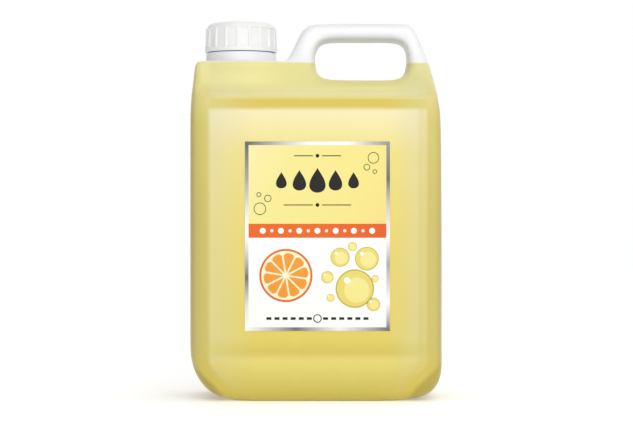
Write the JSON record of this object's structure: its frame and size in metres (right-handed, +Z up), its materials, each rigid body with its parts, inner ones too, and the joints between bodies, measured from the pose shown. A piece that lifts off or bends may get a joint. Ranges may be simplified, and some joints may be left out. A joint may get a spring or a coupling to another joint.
{
  "type": "hand soap refill pack",
  "caption": "Flat jerrycan refill pack of liquid hand soap: hollow carrying handle, offset neck with a ribbed screw cap, recessed label panels.",
  "frame": {"origin": "on the surface it stands on, under the middle of the whole pack", "axes": "+Z up, front label facing -Y, neck at -X, handle at +X"},
  "size_m": [0.1486, 0.0786, 0.2234],
  "materials": {
    "milky_hdpe": "satin translucent natural polyethylene, tinted by the soap behind it",
    "yellow_soap": "clear yellow liquid",
    "white_polypropylene": "moulded satin",
    "liner_foam": "foamed polyethylene wad",
    "front_label_film": "printed film with a silver frame",
    "back_label_film": "printed film"
  },
  "bodies": {
    "pack": {"bottle": "milky_hdpe", "soap_fill": "yellow_soap", "front_label": "front_label_film", "back_label": "back_label_film"},
    "liner": {"cap_liner": "liner_foam"},
    "cap": {"screw_cap": "white_polypropylene"}
  },
  "joints": [
    {"name": "cap_rise", "type": "slide", "parent": "pack", "child": "liner", "axis": [0, 0, 1], "range_m": [0, 0.00525]},
    {"name": "cap_turn", "type": "hinge", "parent": "liner", "child": "cap", "pos_m": [-0.0449, 0, 0.206], "axis": [0, 0, 1], "range_deg": [0, 450]}
  ],
  "couplings": [
    {"joint": "cap_turn", "follows": "cap_rise", "rad_per_m": 1496}
  ]
}
